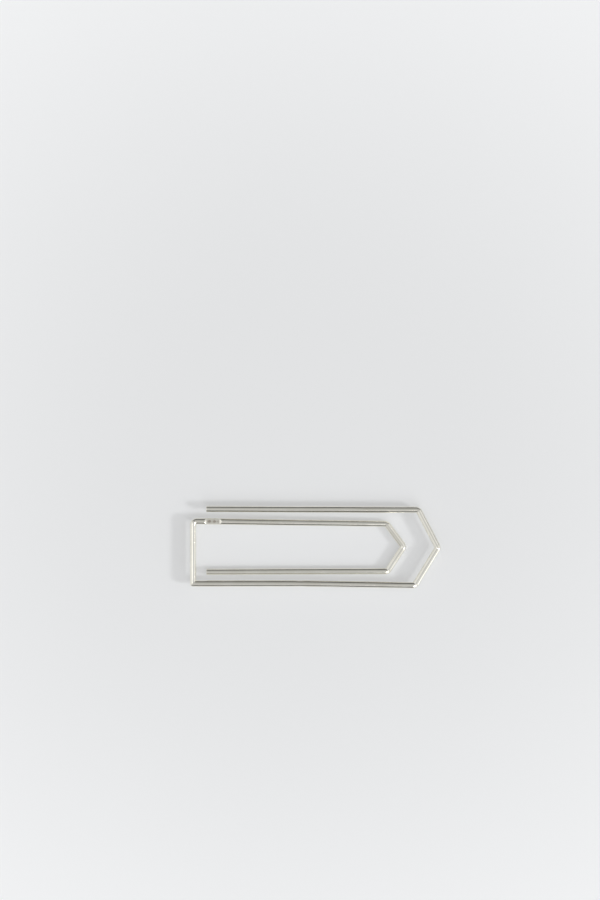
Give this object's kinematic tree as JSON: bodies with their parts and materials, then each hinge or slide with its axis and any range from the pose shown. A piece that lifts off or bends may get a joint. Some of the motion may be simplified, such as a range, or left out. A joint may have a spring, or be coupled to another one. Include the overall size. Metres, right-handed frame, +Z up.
{
  "type": "money clip",
  "caption": "Money clip bent from round polished silver wire like a pointed paper clip, with a sprung tongue inside an outer loop.",
  "frame": {"origin": "middle of the clip's outline, on the surface that the tongue lies on", "axes": "+X from the square end to the point, along the clip's length; +Z up, square to the plane of the clip; +Y towards the free leg of the outer loop"},
  "size_m": [0.07, 0.0231, 0.0029],
  "materials": {
    "polished_silver": "hand-polished sterling silver wire with fine hairlines",
    "struck_silver": "polished sterling silver, struck with small plain marks that hold a little tarnish"
  },
  "bodies": {
    "tongue": {"bar_upper_half": "polished_silver", "upper_corner": "polished_silver", "hallmark_flat": "struck_silver", "tongue_leg": "polished_silver", "tongue_shoulder": "polished_silver", "tongue_upper_arm": "polished_silver", "tongue_tip": "polished_silver", "tongue_lower_arm": "polished_silver"},
    "loop": {"bar_lower_half": "polished_silver", "lower_corner": "polished_silver", "marked_length": "struck_silver", "lower_leg_root": "polished_silver", "lower_leg_bow": "polished_silver", "lower_leg": "polished_silver", "lower_shoulder": "polished_silver", "point_lower_arm": "polished_silver", "outer_point": "polished_silver", "point_upper_arm": "polished_silver"},
    "free_leg": {"outer_leg_arm": "polished_silver", "outer_leg_shoulder": "polished_silver", "outer_leg": "polished_silver"},
    "tongue_leg_end": {"inner_leg_arm": "polished_silver", "inner_leg_shoulder": "polished_silver", "inner_leg": "polished_silver"}
  },
  "joints": [
    {"name": "loop_spring", "type": "hinge", "parent": "tongue", "child": "loop", "pos_m": [-0.0341, 0, 0.002], "axis": [0, -1, 0], "range_deg": [-0.9, 6.5], "stiffness_Nm_per_rad": 0.6},
    {"name": "free_leg_spring", "type": "hinge", "parent": "loop", "child": "free_leg", "pos_m": [0.0315, 0.00513, 0.002], "axis": [-0.4617, 0.887, 0], "range_deg": [-1.2, 3], "stiffness_Nm_per_rad": 0.8},
    {"name": "tongue_leg_spring", "type": "hinge", "parent": "tongue", "child": "tongue_leg_end", "pos_m": [0.02241, -0.00342, 0.0009], "axis": [0.5505, 0.8348, 0], "range_deg": [0, 3], "stiffness_Nm_per_rad": 0.8}
  ]
}
